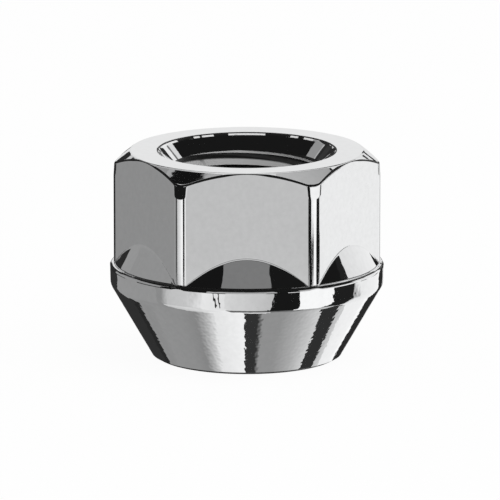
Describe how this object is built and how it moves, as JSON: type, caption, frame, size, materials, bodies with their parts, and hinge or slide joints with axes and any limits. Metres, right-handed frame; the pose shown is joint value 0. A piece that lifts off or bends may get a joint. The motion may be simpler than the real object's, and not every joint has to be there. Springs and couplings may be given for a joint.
{
  "type": "lug nut",
  "caption": "Open-ended wheel lug nut: hexagon head with a turned crown, flared into a round collar above a 60 degree conical seat, with a through thread.",
  "frame": {"origin": "centre of the bore at the small end of the conical seat", "axes": "+Z along the thread axis, from the seat end to the hexagon's crown; a flat of the hexagon faces -Y"},
  "size_m": [0.0222, 0.0222, 0.0169],
  "materials": {
    "chrome_plating": "bright chrome plating on forged and turned steel"
  },
  "bodies": {
    "root": {"lug_nut": "chrome_plating"}
  },
  "joints": []
}
